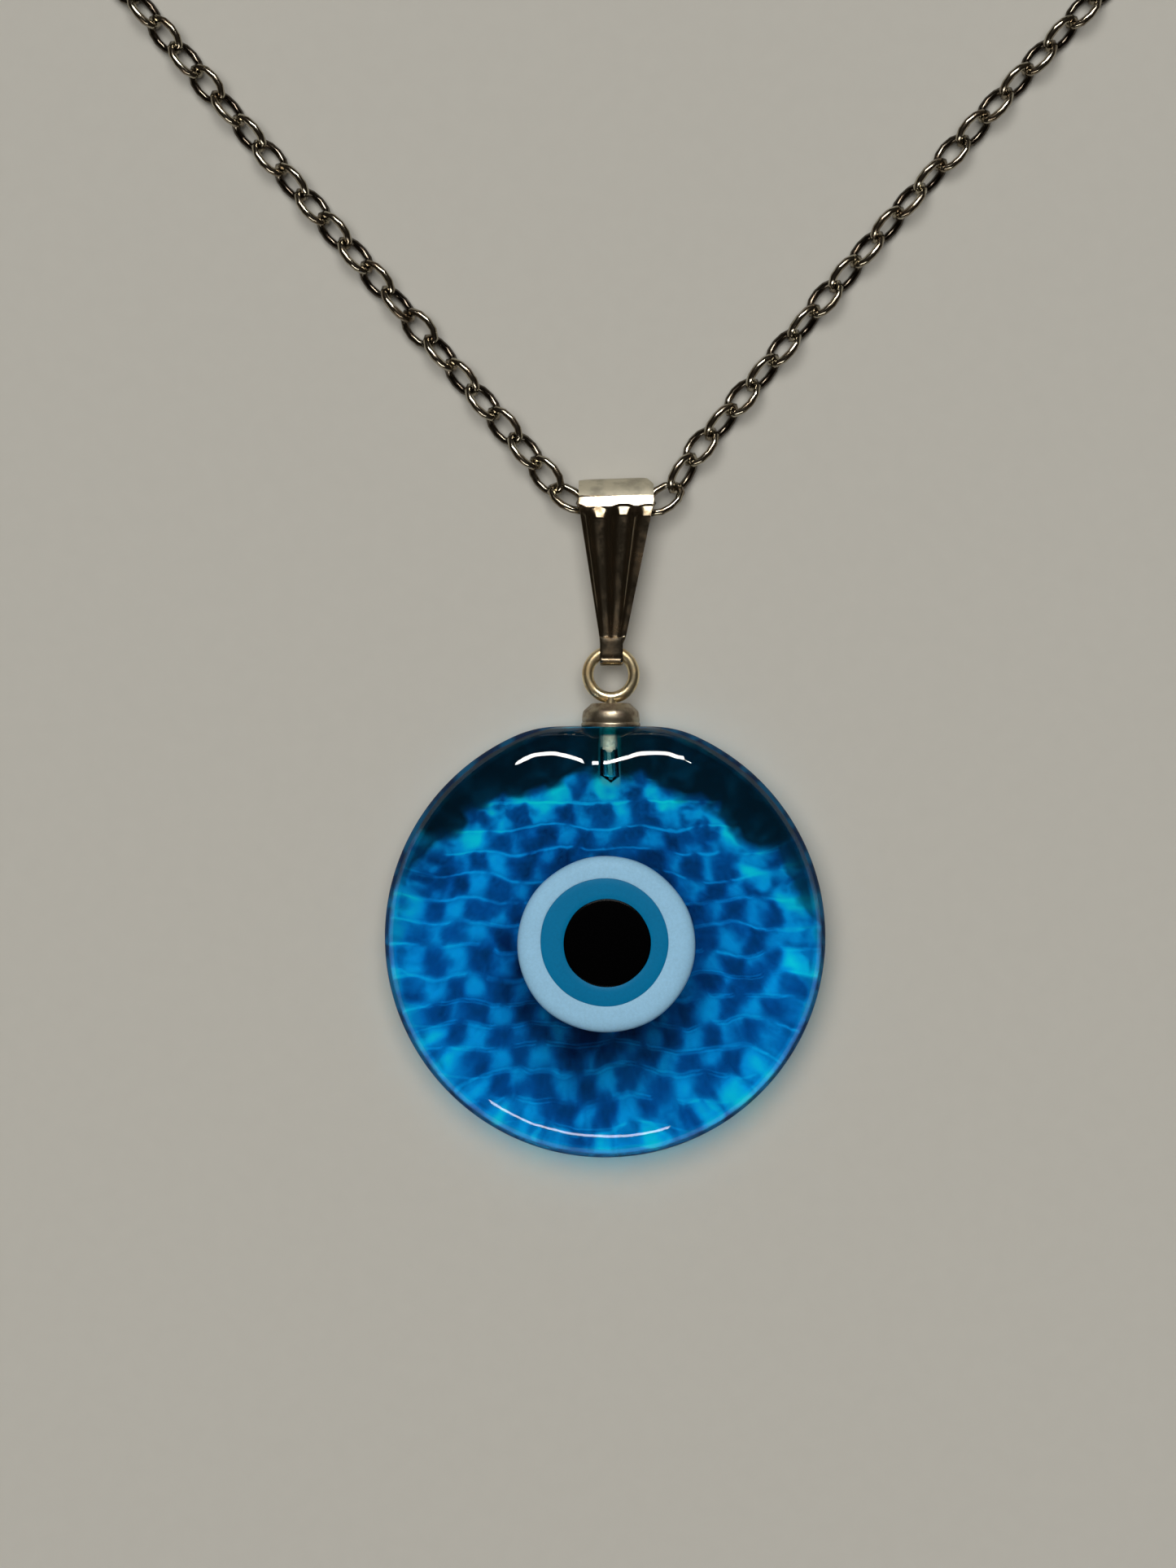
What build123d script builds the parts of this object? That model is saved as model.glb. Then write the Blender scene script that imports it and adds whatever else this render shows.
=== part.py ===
"""Glass evil eye pendant on a fine cable chain, lying face up, in millimetres.

The origin is the centre of the glass disc's flat back, +Y runs up the pendant to its bail, and +Z
is the way the eye faces. The chain leaves the bail as a V, and each arm ends in a coil and a fitting.
"""

import os
from math import atan2, cos, degrees, hypot, pi, radians, sin, tan

from build123d import *

# Glass disc
DISC_RADIUS = 12.5
DISC_THICKNESS = 4.5
FRONT_ROUND_RADIAL = 2.4
FRONT_ROUND_AXIAL = 1.8
BACK_EDGE_RADIUS = 0.6
TOP_FLAT_Y = 11.9
SHOULDER_RADIUS = 5.0
HOLE_RADIUS = 0.5
HOLE_DEPTH = 2.9
HOLE_TIP_DEPTH = 0.3

# Eye layers, each a flattened drop in a seat in the one below: centre, radius, underside and top
WHITE_CENTRE = (0.05, -0.35)
WHITE_RADIUS = 5.05
WHITE_TOP = 5.4
WHITE_EDGE_RADIUS = 0.42
IRIS_CENTRE = (-0.05, -0.2)
IRIS_RADIUS = 3.6
IRIS_SEAT = 5.05
IRIS_TOP = 5.43
PUPIL_CENTRE = (0.1, -0.25)
PUPIL_RADIUS = 2.47
PUPIL_SEAT = 5.25
PUPIL_TOP = 5.46

# Cap and eye pin, on one axis down through the rim of the disc
HANG_X = 0.33
HANG_Z = 2.0
CAP_RADIUS = 1.65
CAP_SKIRT = 0.75
CAP_HEIGHT = 1.37
CAP_TOP_RADIUS = 1.15
CAP_WALL = 0.25
PIN_RADIUS = 0.35
PIN_IN_GLASS = 1.75
RING_WIRE_RADIUS = 0.325
RING_MID_RADIUS = 1.315
CEMENT_DEPTH = 1.4

# Bail, a folded strip: a wide roll round the chain above, a tight one round the ring below
BAIL_WALL = 0.22
BAIL_TOP_RADIUS = 1.45
BAIL_FOOT_RADIUS = 0.64
BAIL_FOOT_Y = 16.02
BAIL_TOP_Y = 24.64
BAIL_LEFT_X = -1.5
BAIL_RIGHT_X = 2.76
BAIL_WAIST_Y = 16.95
BAIL_WAIST_LEFT_X = -0.31
BAIL_WAIST_RIGHT_X = 1.17
TONGUE_CENTRE_X = 0.36
TONGUE_HALF_WIDTH = 0.65

# Chain: its outer diameter, one oval link of it, and the coil that each arm ends in
CHAIN_DIAMETER = 2.0
LINK_LENGTH = 2.75
LINK_WIDTH = 2.0
LINK_WIRE_RADIUS = 0.225
COIL_OUTER_TURN = 11.5
COIL_INNER_TURN = 9.5
COIL_HEIGHT = 3.75
COIL_CENTRE_Y = 67.0
COIL_CENTRE_X = {"left": -23.1, "right": 24.9}
LIMP_RADIUS = 3 * CHAIN_DIAMETER

# Corners of each arm, from the middle of the bail's roll to where it joins its coil
CHAIN_START = (0.63, BAIL_TOP_Y, BAIL_TOP_RADIUS)
ARM_POINTS = {
    "left": [CHAIN_START, (-2.62, BAIL_TOP_Y, BAIL_TOP_RADIUS), (-6.3, 29.75, 1.0), (-13.3, 37.8, 1.0),
             (-23.2, 49.1, 1.0), (-31.9, 59.6, 1.0)],
    "right": [CHAIN_START, (3.86, BAIL_TOP_Y, BAIL_TOP_RADIUS), (7.3, 30.1, 1.0), (14.6, 38.9, 1.0),
              (24.0, 49.4, 1.0), (33.25, 59.1, 1.0)],
}
MOUTH_BEND_RADIUS = 2.0

# Corners of the short length that comes off the top of each coil and down to the surface
OFF_COIL_Y = COIL_CENTRE_Y + (COIL_OUTER_TURN + COIL_INNER_TURN) / 2
OFF_COIL_POINTS = {
    "left": [(-23.1, OFF_COIL_Y, 2.73), (-16.9, OFF_COIL_Y + 0.1, 2.6), (-13.3, OFF_COIL_Y, 1.0),
             (-10.6, OFF_COIL_Y + 0.05, 1.0)],
    "right": [(24.9, OFF_COIL_Y, 2.73), (18.7, OFF_COIL_Y + 0.1, 2.6), (14.4, OFF_COIL_Y, 1.0),
              (8.1, OFF_COIL_Y + 0.05, 1.0)],
}

# Fittings at the two ends of the chain
LEFT_LINK_X = -9.9
RIGHT_LINK_X = 7.4
JUMP_RING_X = LEFT_LINK_X + 1.55
JUMP_RING_MID_RADIUS = 1.2
JUMP_RING_WIRE_RADIUS = 0.3
END_RING_MID_RADIUS = 1.65
END_RING_WIRE_RADIUS = 0.35
END_RING_HINGE = (RIGHT_LINK_X - 0.545, OFF_COIL_Y, 1.0)

# Lobster clasp, measured from the middle of its tail eye, gate on the -Y side
CLASP_X = JUMP_RING_X + 1.2
CLASP_THICKNESS = 2.2
CLASP_EYE_RADIUS = 1.25
CLASP_EYE_HOLE = 0.75
CLASP_EYE_THICKNESS = 0.8
CLASP_BODY_X = 3.6
CLASP_BODY_RADIUS = 1.85
HOOK_X = 5.9
HOOK_OUTER_RADIUS = 2.7
HOOK_INNER_RADIUS = 1.75
GATE_START_DEG = -142
GATE_END_DEG = -55
PIVOT = (3.1, -0.9)
PIVOT_PIN_RADIUS = 0.35
TRIGGER_RADIUS = 0.75
TRIGGER_THICKNESS = 0.9
TRIGGER_OPEN_DEG = 22
TAB_END = (2.95, 2.35)
TAB_RADIUS = 0.42
TAB_SLOT_REACH = 4.0
RUNNING_CLEARANCE = 0.05
SPRING_WIRE_RADIUS = 0.06
SPRING_RADIUS = 0.52


def cylinder_along_y(radius, low, high):
    """A round bar along +Y on the pin's axis, from one height to another."""
    plane = Plane(origin=(HANG_X, low, HANG_Z), x_dir=(1, 0, 0), z_dir=(0, 1, 0))
    return plane * Cylinder(radius, high - low, align=(Align.CENTER, Align.CENTER, Align.MIN))


def glass_disc():
    """Flat back, pillowed front, a flat ground on the top of the rim, and a blind hole for the pin."""
    flat_radius = DISC_RADIUS - FRONT_ROUND_RADIAL
    round_start = DISC_THICKNESS - FRONT_ROUND_AXIAL
    back_flat = DISC_RADIUS - BACK_EDGE_RADIUS
    half_outline = Curve() + [
        Line((0, 0), (back_flat, 0)),
        CenterArc((back_flat, BACK_EDGE_RADIUS), BACK_EDGE_RADIUS, 270, 90),
        Line((DISC_RADIUS, BACK_EDGE_RADIUS), (DISC_RADIUS, round_start)),
        EllipticalCenterArc(
            (flat_radius, round_start), FRONT_ROUND_RADIAL, FRONT_ROUND_AXIAL, start_angle=0, arc_size=90),
        Line((flat_radius, DISC_THICKNESS), (0, DISC_THICKNESS)),
        Line((0, DISC_THICKNESS), (0, 0)),
    ]
    profile = Plane.XZ * make_face(half_outline)
    body = revolve(profile, Axis.Z)
    above = Pos(0, TOP_FLAT_Y + DISC_RADIUS) * Rectangle(2 * DISC_RADIUS, 2 * DISC_RADIUS)
    outline = Circle(DISC_RADIUS) - above
    outline = fillet(outline.vertices().sort_by(Axis.Y)[-2:], SHOULDER_RADIUS)
    body = body & extrude(outline, DISC_THICKNESS)
    hole_foot = TOP_FLAT_Y - HOLE_DEPTH
    tip_plane = Plane(origin=(HANG_X, hole_foot, HANG_Z), x_dir=(1, 0, 0), z_dir=(0, -1, 0))
    tip = tip_plane * Cone(
        HOLE_RADIUS, 0.05, HOLE_TIP_DEPTH, align=(Align.CENTER, Align.CENTER, Align.MIN))
    return body - cylinder_along_y(HOLE_RADIUS, hole_foot, TOP_FLAT_Y + 1) - tip


def drop(centre, radius, low, high):
    """One flat round layer of the eye."""
    return Pos(*centre, low) * Cylinder(radius, high - low, align=(Align.CENTER, Align.CENTER, Align.MIN))


def eye_layers():
    """White, iris and pupil, each let into the one below."""
    white = drop(WHITE_CENTRE, WHITE_RADIUS, DISC_THICKNESS, WHITE_TOP)
    white = fillet(white.edges().group_by(Axis.Z)[-1], WHITE_EDGE_RADIUS)
    white = white - drop(IRIS_CENTRE, IRIS_RADIUS, IRIS_SEAT, WHITE_TOP + 1)
    iris = drop(IRIS_CENTRE, IRIS_RADIUS, IRIS_SEAT, IRIS_TOP)
    iris = iris - drop(PUPIL_CENTRE, PUPIL_RADIUS, PUPIL_SEAT, IRIS_TOP + 1)
    pupil = drop(PUPIL_CENTRE, PUPIL_RADIUS, PUPIL_SEAT, PUPIL_TOP)
    return {"eye_white": white, "eye_iris": iris, "eye_pupil": pupil}


def cap_cup():
    """A thin turned cup, open below, with a hole in its top for the pin."""
    corners = [
        (CAP_RADIUS - CAP_WALL, 0), (CAP_RADIUS, 0), (CAP_RADIUS, CAP_SKIRT),
        (CAP_TOP_RADIUS, CAP_HEIGHT), (PIN_RADIUS, CAP_HEIGHT), (PIN_RADIUS, CAP_HEIGHT - CAP_WALL),
        (CAP_TOP_RADIUS - CAP_WALL, CAP_HEIGHT - CAP_WALL), (CAP_RADIUS - CAP_WALL, CAP_SKIRT - 0.1),
    ]
    turned = revolve(make_face(Polyline(corners, close=True)), Axis.Y)
    return Pos(HANG_X, TOP_FLAT_Y, HANG_Z) * turned


def ring(mid_radius, wire_radius):
    """A closed wire ring in the XY plane about the origin."""
    return Torus(mid_radius, wire_radius)


def eye_pin():
    """A ring on a short peg, the peg glued into the disc through the cap."""
    cap_top = TOP_FLAT_Y + CAP_HEIGHT
    ring_y = cap_top + RING_MID_RADIUS + RING_WIRE_RADIUS
    peg = cylinder_along_y(PIN_RADIUS, TOP_FLAT_Y - PIN_IN_GLASS, cap_top + RING_WIRE_RADIUS)
    tip_edge = peg.edges().group_by(Axis.Y)[0]
    peg = chamfer(tip_edge, PIN_RADIUS / 3)
    return Pos(HANG_X, ring_y, HANG_Z) * ring(RING_MID_RADIUS, RING_WIRE_RADIUS) + peg


def pin_cement():
    """The sleeve of clear cement round the peg in its hole."""
    top, low = TOP_FLAT_Y, TOP_FLAT_Y - CEMENT_DEPTH
    return cylinder_along_y(HOLE_RADIUS, low, top) - cylinder_along_y(PIN_RADIUS, low - 1, top + 1)


def bail():
    """A strip bent into a closed teardrop, tapering from its roll to a tongue through the ring."""
    section_plane = Plane(origin=(BAIL_LEFT_X - 1, 0, 0), x_dir=(0, 1, 0), z_dir=(1, 0, 0))

    def teardrop(inset):
        roll = Pos(BAIL_TOP_Y, BAIL_TOP_RADIUS) * Circle(BAIL_TOP_RADIUS - inset)
        foot = Pos(BAIL_FOOT_Y, HANG_Z) * Circle(BAIL_FOOT_RADIUS - inset)
        return make_hull(roll.edges() + foot.edges())

    band = teardrop(0) - teardrop(BAIL_WALL)
    strip = extrude(section_plane * band, BAIL_RIGHT_X - BAIL_LEFT_X + 2)
    top = BAIL_TOP_Y + BAIL_TOP_RADIUS + 1
    tongue_left, tongue_right = TONGUE_CENTRE_X - TONGUE_HALF_WIDTH, TONGUE_CENTRE_X + TONGUE_HALF_WIDTH
    outline = make_face(Polyline([
        (BAIL_LEFT_X, top), (BAIL_LEFT_X, BAIL_TOP_Y), (BAIL_WAIST_LEFT_X, BAIL_WAIST_Y),
        (tongue_left, BAIL_WAIST_Y), (tongue_left, TOP_FLAT_Y), (tongue_right, TOP_FLAT_Y),
        (tongue_right, BAIL_WAIST_Y), (BAIL_WAIST_RIGHT_X, BAIL_WAIST_Y), (BAIL_RIGHT_X, BAIL_TOP_Y),
        (BAIL_RIGHT_X, top)], close=True))
    return strip & Pos(0, 0, -1) * extrude(outline, 2 * BAIL_TOP_RADIUS + 2)


def half_turn(points, corner):
    """Half the angle by which the route turns at a corner, in radians."""
    before = Vector(*points[corner]) - Vector(*points[corner - 1])
    after = Vector(*points[corner + 1]) - Vector(*points[corner])
    return radians(before.get_angle(after)) / 2


def corner_radii(points, tightest=LIMP_RADIUS):
    """The largest arc that each corner's two runs allow, and no less than the tightest given."""
    radii = []
    for corner in range(1, len(points) - 1):
        shorter = min(
            (Vector(*points[corner]) - Vector(*points[side])).length for side in (corner - 1, corner + 1))
        radii.append(max(tightest, 0.45 * shorter / tan(half_turn(points, corner))))
    return radii


def chain_tube(name, points, radii):
    """The chain's outer tube along straight runs and tangent arcs."""
    path = FilletPolyline(*points, radius=radii)
    start = Plane(origin=path @ 0, z_dir=path % 0)
    tube = sweep(start * Circle(CHAIN_DIAMETER / 2), path)
    straight_volume = pi * (CHAIN_DIAMETER / 2) ** 2 * path.length
    print(name, "length", round(path.length, 2), "radii", [round(r, 2) for r in radii],
          "volume over section times length", round(tube.volume / straight_volume, 4))
    return tube


def chain_arm(side):
    """One arm of the V, from the middle of the bail's roll to its coil."""
    points = ARM_POINTS[side]
    radii = [MOUTH_BEND_RADIUS] + corner_radii(points)[1:]
    return chain_tube(f"chain_{side}_arm", points, radii)


def chain_coil(side):
    """The outer shape of an arm's put-away turns, two side by side and one on top."""
    outer = Circle(COIL_OUTER_TURN + CHAIN_DIAMETER / 2) - Circle(COIL_INNER_TURN - CHAIN_DIAMETER / 2)
    annulus = extrude(outer, COIL_HEIGHT)
    annulus = fillet(annulus.edges().group_by(Axis.Z)[-1], 0.45 * CHAIN_DIAMETER)
    return Pos(COIL_CENTRE_X[side], COIL_CENTRE_Y) * annulus


def chain_end(side):
    """The length from the top of a coil to the chain's last link."""
    points = OFF_COIL_POINTS[side]
    return chain_tube(f"chain_{side}_end", points, corner_radii(points, CHAIN_DIAMETER))


def oval_link():
    """One oval wire link in the XY plane, long way along X."""
    mid_radius = LINK_WIDTH / 2 - LINK_WIRE_RADIUS
    half_side = LINK_LENGTH / 2 - LINK_WIDTH / 2
    path = SlotCenterToCenter(2 * half_side, 2 * mid_radius).wire()
    start = Plane(origin=path @ 0, z_dir=path % 0)
    return sweep(start * Circle(LINK_WIRE_RADIUS), path)


def end_ring():
    """A flat-lying ring through the right arm's last link, its far side down on the surface."""
    drop_angle = degrees(atan2(END_RING_HINGE[2] - END_RING_WIRE_RADIUS, 2 * END_RING_MID_RADIUS))
    tilted = Rot(0, -drop_angle, 0) * (Pos(-END_RING_MID_RADIUS, 0) * ring(
        END_RING_MID_RADIUS, END_RING_WIRE_RADIUS))
    return Pos(*END_RING_HINGE) * tilted


def at_clasp(shape):
    """A piece drawn from the clasp's tail eye, put where the clasp lies."""
    return Pos(CLASP_X, OFF_COIL_Y) * shape


def layer(sketch, thickness):
    """A sketch given its thickness about the clasp's middle plane."""
    return Pos(0, 0, (CLASP_THICKNESS - thickness) / 2) * extrude(sketch, thickness)


def polar(radius, angle_deg):
    """The place at a distance and a direction from the origin."""
    return Pos(radius * cos(radians(angle_deg)), radius * sin(radians(angle_deg)))


def sector(radius, start_deg, end_deg):
    """A slice of a disc about the trigger's pivot."""
    rim = [(radius * cos(radians(a)), radius * sin(radians(a)))
           for a in (start_deg, (start_deg + end_deg) / 2, end_deg)]
    edges = Curve() + [Line((0, 0), rim[0]), ThreePointArc(*rim), Line(rim[2], (0, 0))]
    return Pos(*PIVOT) * make_face(edges)


def hook_band(inner, outer, start_deg, end_deg):
    """Part of the hook's ring between two angles."""
    arms = [(r * cos(radians(a)), r * sin(radians(a))) for r, a in (
        (inner, start_deg), (outer, start_deg), (outer, end_deg), (inner, end_deg))]
    edges = Curve() + [
        Line(arms[0], arms[1]), CenterArc((0, 0), outer, start_deg, end_deg - start_deg),
        Line(arms[2], arms[3]), CenterArc((0, 0), inner, start_deg, end_deg - start_deg)]
    return Pos(HOOK_X, 0) * make_face(edges)


def trigger_reach():
    """How far the tip of the trigger is from its pivot."""
    tip = (HOOK_X + (HOOK_OUTER_RADIUS - 0.15) * cos(radians(GATE_END_DEG)),
           (HOOK_OUTER_RADIUS - 0.15) * sin(radians(GATE_END_DEG)))
    return hypot(tip[0] - PIVOT[0], tip[1] - PIVOT[1])


def clasp_body():
    """Tail eye, cheeks and hook, slotted for the trigger and open where the gate closes it."""
    neck = make_hull((Pos(0.9, 0) * Circle(0.7)).edges() + (Pos(CLASP_BODY_X, 0) * Circle(
        CLASP_BODY_RADIUS)).edges())
    outline = neck + Pos(HOOK_X, 0) * Circle(HOOK_OUTER_RADIUS)
    cheeks = extrude(outline, CLASP_THICKNESS)
    cheeks = fillet(cheeks.edges().filter_by(GeomType.LINE, reverse=True).group_by(Axis.Z)[-1], 0.3)
    cheeks = cheeks - Pos(HOOK_X, 0) * Cylinder(HOOK_INNER_RADIUS, 3 * CLASP_THICKNESS)
    gate = hook_band(HOOK_INNER_RADIUS - 0.3, HOOK_OUTER_RADIUS + 0.5, GATE_START_DEG + 6, GATE_END_DEG + 4)
    cheeks = cheeks - extrude(gate, CLASP_THICKNESS)
    slot_height = TRIGGER_THICKNESS + 2 * RUNNING_CLEARANCE
    tab_deg = degrees(atan2(TAB_END[1] - PIVOT[1], TAB_END[0] - PIVOT[0]))
    slot = sector(trigger_reach() + 0.1, -95, TRIGGER_OPEN_DEG + 3)
    slot += sector(2 * TRIGGER_RADIUS, 0, 2 * TRIGGER_OPEN_DEG + 8)
    slot += Pos(*PIVOT) * Circle(TRIGGER_RADIUS + 0.1)
    tab_shut = polar(TAB_SLOT_REACH, tab_deg) * Circle(TAB_RADIUS + 0.2)
    tab_open = polar(TAB_SLOT_REACH, tab_deg + TRIGGER_OPEN_DEG) * Circle(TAB_RADIUS + 0.2)
    slot += Pos(*PIVOT) * make_hull(Circle(0.6).edges() + tab_shut.edges() + tab_open.edges())
    cheeks = cheeks - layer(slot, slot_height)
    tail_cut = Pos(-0.2, 0) * Rectangle(2.6, 4)
    cheeks = cheeks - extrude(tail_cut, CLASP_THICKNESS)
    eye = layer(Circle(CLASP_EYE_RADIUS) + Pos(1.1, 0) * Rectangle(1.2, 1.4), CLASP_EYE_THICKNESS)
    body = cheeks + eye - Cylinder(CLASP_EYE_HOLE, 3 * CLASP_THICKNESS)
    spring_seat = Pos(*PIVOT, (CLASP_THICKNESS - slot_height) / 2 - 0.32) * Cylinder(
        SPRING_RADIUS + 2 * SPRING_WIRE_RADIUS, 1, align=(Align.CENTER, Align.CENTER, Align.MIN))
    return body - Pos(*PIVOT) * Cylinder(PIVOT_PIN_RADIUS, 3 * CLASP_THICKNESS) - spring_seat


def clasp_trigger():
    """The gate, its boss on the pivot pin and its thumb tab."""
    gate = hook_band(HOOK_INNER_RADIUS, HOOK_OUTER_RADIUS - 0.15, GATE_START_DEG, GATE_END_DEG)
    boss = Pos(*PIVOT) * Circle(TRIGGER_RADIUS)
    link_x = HOOK_X + 2.15 * cos(radians(GATE_START_DEG))
    link_y = 2.15 * sin(radians(GATE_START_DEG))
    arm = make_hull(boss.edges() + (Pos(link_x, link_y) * Circle(0.4)).edges())
    tab = make_hull((Pos(*PIVOT) * Circle(0.5)).edges() + (Pos(*TAB_END) * Circle(TAB_RADIUS)).edges())
    lever = layer(gate + arm + tab + boss, TRIGGER_THICKNESS)
    return lever - Pos(*PIVOT) * Cylinder(PIVOT_PIN_RADIUS + RUNNING_CLEARANCE, 3 * CLASP_THICKNESS)


def clasp_pivot_pin():
    """The rivet through both cheeks and the trigger."""
    return Pos(*PIVOT, 0) * Cylinder(
        PIVOT_PIN_RADIUS, CLASP_THICKNESS, align=(Align.CENTER, Align.CENTER, Align.MIN))


def clasp_spring():
    """The small coil that turns the trigger shut, round the pin in its seat under the trigger."""
    slot_floor = (CLASP_THICKNESS - TRIGGER_THICKNESS) / 2 - RUNNING_CLEARANCE
    helix = Helix(pitch=0.13, height=0.13, radius=SPRING_RADIUS)
    start = Plane(origin=helix @ 0, z_dir=helix % 0)
    coil = sweep(start * Circle(SPRING_WIRE_RADIUS), helix, is_frenet=True)
    return Pos(*PIVOT, slot_floor - 0.24) * coil


def all_parts():
    """Every node by its name."""
    parts = {"glass_disc": glass_disc(), **eye_layers(), "cap_cup": cap_cup(), "eye_pin": eye_pin(),
             "pin_cement": pin_cement(), "bail": bail()}
    for side in ("left", "right"):
        parts[f"chain_{side}_arm"] = chain_arm(side)
        parts[f"chain_{side}_coil"] = chain_coil(side)
        parts[f"chain_{side}_end"] = chain_end(side)
    parts["left_end_link"] = Pos(LEFT_LINK_X, OFF_COIL_Y, 1.0) * oval_link()
    parts["right_end_link"] = Pos(RIGHT_LINK_X, OFF_COIL_Y, 1.0) * Rot(90, 0, 0) * oval_link()
    jump_ring = Rot(90, 0, 0) * ring(JUMP_RING_MID_RADIUS, JUMP_RING_WIRE_RADIUS)
    jump_ring_z = JUMP_RING_MID_RADIUS + JUMP_RING_WIRE_RADIUS
    parts["jump_ring"] = Pos(JUMP_RING_X, OFF_COIL_Y, jump_ring_z) * jump_ring
    parts["clasp_body"] = at_clasp(clasp_body())
    parts["clasp_trigger"] = at_clasp(clasp_trigger())
    parts["clasp_pivot_pin"] = at_clasp(clasp_pivot_pin())
    parts["clasp_spring"] = at_clasp(clasp_spring())
    parts["end_ring"] = end_ring()
    return parts


os.makedirs("parts", exist_ok=True)
for node, shape in all_parts().items():
    export_step(shape, f"parts/{node}.step")
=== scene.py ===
"""Looks of the evil eye pendant on its cable chain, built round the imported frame, in metres.

Each operator makes one piece or group of like pieces in its place; main() calls them in order.
"""

import math

import bmesh
import bpy
from bpy.props import FloatProperty, FloatVectorProperty, IntProperty, PointerProperty
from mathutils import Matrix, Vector


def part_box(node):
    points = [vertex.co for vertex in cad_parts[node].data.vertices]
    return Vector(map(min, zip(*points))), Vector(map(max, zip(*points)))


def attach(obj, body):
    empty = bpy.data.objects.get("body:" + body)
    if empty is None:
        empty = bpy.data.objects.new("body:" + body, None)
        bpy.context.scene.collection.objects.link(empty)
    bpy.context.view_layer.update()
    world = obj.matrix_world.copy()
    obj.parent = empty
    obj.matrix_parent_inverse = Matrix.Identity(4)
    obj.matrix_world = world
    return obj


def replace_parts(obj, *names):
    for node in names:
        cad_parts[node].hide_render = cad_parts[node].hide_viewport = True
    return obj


bl_info = {
    "name": "Evil eye pendant",
    "version": (1, 0, 0),
    "blender": (4, 5, 0),
    "location": "3D View > Sidebar > Pendant",
    "description": "Builds the glass disc, its eye, the bail and the cable chain round the frame",
    "category": "Object",
}

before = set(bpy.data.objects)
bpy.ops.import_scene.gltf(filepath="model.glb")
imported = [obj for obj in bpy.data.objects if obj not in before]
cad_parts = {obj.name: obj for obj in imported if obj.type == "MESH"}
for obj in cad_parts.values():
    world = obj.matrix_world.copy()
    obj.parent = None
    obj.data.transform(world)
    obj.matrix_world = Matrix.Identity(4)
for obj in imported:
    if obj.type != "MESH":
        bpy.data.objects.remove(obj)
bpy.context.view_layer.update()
MM = 0.001

DISC_LOW, DISC_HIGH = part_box("glass_disc")
WHITE_LOW, WHITE_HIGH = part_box("eye_white")
IRIS_LOW, IRIS_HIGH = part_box("eye_iris")
PUPIL_LOW, PUPIL_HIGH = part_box("eye_pupil")
BAIL_LOW, BAIL_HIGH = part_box("bail")
CAP_LOW, CAP_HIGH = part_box("cap_cup")
HANG_X = (CAP_LOW.x + CAP_HIGH.x) / 2
HANG_Z = (CAP_LOW.z + CAP_HIGH.z) / 2

# The route of each arm, in millimetres: out of the bail's roll, down to the surface, to its coil
ARM_ROUTE = {
    "left": [(0.63, 24.68, 1.36), (-0.4, 24.68, 1.36), (-1.7, 24.7, 1.33), (-2.6, 25.35, 1.15),
             (-4.1, 27.2, 1.0), (-6.3, 29.75, 0.9), (-13.3, 37.8, 0.88), (-23.2, 49.1, 0.88),
             (-31.9, 59.6, 0.88)],
    "right": [(0.63, 24.68, 1.36), (1.7, 24.68, 1.36), (3.2, 24.7, 1.37), (4.0, 25.75, 1.15),
              (5.2, 27.7, 1.0), (7.3, 30.1, 0.9), (14.6, 38.9, 0.88), (24.0, 49.4, 0.88),
              (33.25, 59.1, 0.88)],
}
COIL_CENTRE = {"left": (-23.1, 67.0), "right": (24.9, 67.0)}
COIL_START_DEG = {"left": 221.0, "right": -43.5}
COIL_TURN_DEG = {"left": -851.0, "right": 853.5}
COIL_STEPS = 40
COIL_REACH = 11.65
LYING_HEIGHT = 0.88
END_ROUTE = {
    "left": [(-20.0, 77.55, 2.3), (-16.9, 77.6, 2.2), (-13.6, 77.5, 0.9), (-12.0, 77.5, 0.8),
             (-10.6, 77.55, 0.8)],
    "right": [(21.8, 77.55, 2.3), (18.7, 77.6, 2.2), (15.0, 77.5, 0.9), (12.0, 77.5, 0.8),
              (8.1, 77.55, 0.8)],
}
END_LINK_X = {"left": -9.9, "right": 7.4}

GLASS_IOR = 1.5
# Painted light patches in the glass and the painted crescent of shade at its top, in millimetres
PATCH_WIDTH = 1.2
PATCH_HEIGHT = 1.4
SHADE_CENTRE = (-0.5, -4.3)
SHADE_RADIUS = 13.0
# The drilled hole, in millimetres
HOLE_RADIUS = 0.5
HOLE_TIP_Y = 8.6
GLUE_Y = 10.35
RIM_Y = 11.85
# How far the dip over the hole lies to the left of the pin, in metres
DIMPLE_OFFSET = 0.6 * MM


# ---- nodes written as sums

class Value:
    """A socket of a node tree. A sum written with it adds its Math nodes."""

    def __init__(self, nodes, socket):
        self.nodes = nodes
        self.socket = socket

    def math(self, operation, *others):
        """This value through one Math node."""
        sockets = dict(enumerate((self,) + others))
        return self.nodes.add("ShaderNodeMath", {"operation": operation}, sockets)

    def other(self, output):
        """Another output of the node that this one comes from."""
        return Value(self.nodes, self.socket.node.outputs[output])

    def step(self, low, high):
        """0 below low, 1 above high and smooth between them."""
        settings = {"interpolation_type": "SMOOTHSTEP"}
        return self.nodes.add("ShaderNodeMapRange", settings, {
            "Value": self, "From Min": low, "From Max": high})

    def between(self, low, high):
        """0 below low, 1 above high and straight between them."""
        return self.nodes.add("ShaderNodeMapRange", {}, {
            "Value": self, "From Min": low, "From Max": high})

    def __add__(self, other):
        return self.math("ADD", other)

    def __sub__(self, other):
        return self.math("SUBTRACT", other)

    def __rsub__(self, other):
        return (self * -1) + other

    def __mul__(self, other):
        return self.math("MULTIPLY", other)

    def __truediv__(self, other):
        return self.math("DIVIDE", other)

    __radd__ = __add__
    __rmul__ = __mul__

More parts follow.
